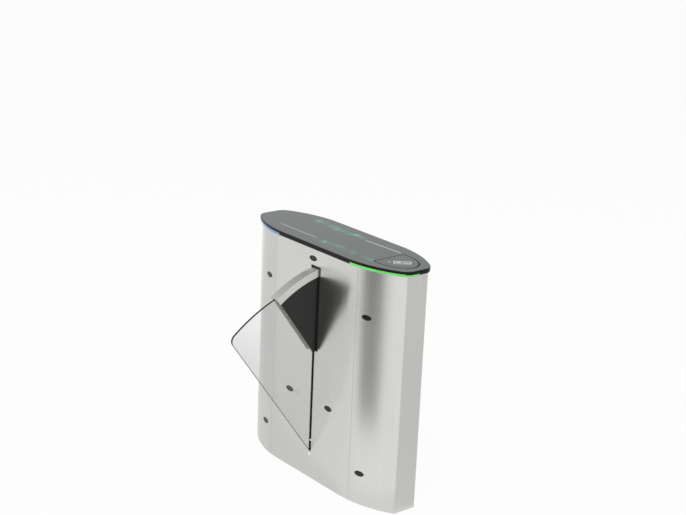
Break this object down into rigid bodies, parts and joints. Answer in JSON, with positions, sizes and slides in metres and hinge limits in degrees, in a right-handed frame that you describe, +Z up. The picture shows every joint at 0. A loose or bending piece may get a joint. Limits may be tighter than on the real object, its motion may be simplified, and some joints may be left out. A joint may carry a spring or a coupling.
{
  "type": "flap barrier cabinet",
  "caption": "Steel gate cabinet with rounded ends, a lit glass top and a fan-shaped wing that folds in through a slot to free the lane.",
  "frame": {"origin": "middle of the base plate's underside, on the floor", "axes": "+Z up, X along the cabinet with the green light at +X, the lane and the wing at -Y"},
  "size_m": [0.942, 0.6776, 1],
  "materials": {
    "housing_steel": "upright brushed grain, satin",
    "inner_steel": "zinc plated",
    "bright_steel": "ground",
    "black_coat": "satin black powder coat",
    "black_plastic": "fine texture",
    "dark_glass": "grey back-printed, polished",
    "clear_sheet": "clear, polished edges",
    "rim_aluminium": "satin anodised",
    "white_nylon": "moulded",
    "green_diffuser": "lit from inside",
    "blue_diffuser": "lit from inside",
    "sensor_smoke": "smoked, polished",
    "stop_rubber": "moulded",
    "board_green": "solder resist",
    "bronze": "sintered",
    "motor_grey": "satin paint"
  },
  "bodies": {
    "root": {"base_plate": "inner_steel", "near_lane_post": "inner_steel", "far_lane_post": "inner_steel", "near_rear_post": "inner_steel", "far_rear_post": "inner_steel", "lane_side_panel": "housing_steel", "rear_side_panel": "housing_steel", "near_end_shell": "housing_steel", "far_end_shell": "housing_steel", "sensor_window_top": "sensor_smoke", "sensor_window_near_high": "sensor_smoke", "sensor_window_near_low": "sensor_smoke", "sensor_window_far_high": "sensor_smoke", "sensor_window_far_low": "sensor_smoke", "sensor_window_near_middle": "sensor_smoke", "sensor_window_far_middle": "sensor_smoke", "top_frame": "black_coat", "near_light_strip": "green_diffuser", "far_light_strip": "blue_diffuser", "lane_trim_band": "black_plastic", "rear_trim_band": "black_plastic", "near_bearing_plate": "inner_steel", "far_bearing_plate": "inner_steel", "near_bearing": "bronze", "far_bearing": "bronze", "stub_axle": "bright_steel", "stub_collar": "inner_steel", "gearmotor": "motor_grey", "stop_wing_out": "stop_rubber", "stop_wing_in": "stop_rubber", "slot_guide": "white_nylon", "control_box": "black_plastic", "power_supply": "inner_steel", "lid_hinge_near_frame_leaf": "inner_steel", "lid_hinge_near_pin": "bright_steel", "lid_hinge_far_frame_leaf": "inner_steel", "lid_hinge_far_pin": "bright_steel"},
    "flap": {"clear_leaf": "clear_sheet", "leaf_clamp_near": "inner_steel", "leaf_clamp_far": "inner_steel", "leaf_bolt_lower": "bright_steel", "leaf_bolt_upper": "bright_steel", "flap_shaft": "bright_steel", "shaft_gear": "inner_steel", "drive_sector": "inner_steel"},
    "shroud": {"shroud_near_cheek": "black_coat", "shroud_far_cheek": "black_coat", "shroud_rim": "rim_aluminium", "shroud_hub_gear": "inner_steel", "shroud_far_hub": "inner_steel"},
    "layshaft": {"layshaft_sleeve": "bright_steel", "layshaft_small_gear": "inner_steel", "layshaft_large_gear": "inner_steel"},
    "pinion": {"motor_pinion": "bright_steel"},
    "lid": {"lid_tray": "black_plastic", "top_glass": "dark_glass", "card_reader": "black_plastic", "display_board": "board_green", "lid_hinge_near_lid_leaf": "inner_steel", "lid_hinge_far_lid_leaf": "inner_steel"}
  },
  "joints": [
    {"name": "flap_swing", "type": "hinge", "parent": "root", "child": "flap", "pos_m": [0, -0.065, 0.15], "axis": [-1, 0, 0], "range_deg": [0, 36]},
    {"name": "shroud_swing", "type": "hinge", "parent": "root", "child": "shroud", "pos_m": [0, -0.065, 0.15], "axis": [-1, 0, 0], "range_deg": [0, 16.1]},
    {"name": "layshaft_spin", "type": "hinge", "parent": "root", "child": "layshaft", "pos_m": [0, -0.005, 0.15], "axis": [-1, 0, 0], "range_deg": [-24.1, 0]},
    {"name": "pinion_spin", "type": "hinge", "parent": "root", "child": "pinion", "pos_m": [0, -0.001, 0.15], "axis": [-1, 0, 0], "range_deg": [-108.1, 0]},
    {"name": "lid_open", "type": "hinge", "parent": "root", "child": "lid", "pos_m": [0, 0.146, 0.984], "axis": [-1, 0, 0], "range_deg": [0, 75]}
  ],
  "couplings": [
    {"joint": "shroud_swing", "follows": "flap_swing", "ratio": 0.44444},
    {"joint": "layshaft_spin", "follows": "flap_swing", "ratio": -0.66667},
    {"joint": "pinion_spin", "follows": "flap_swing", "ratio": -3}
  ]
}
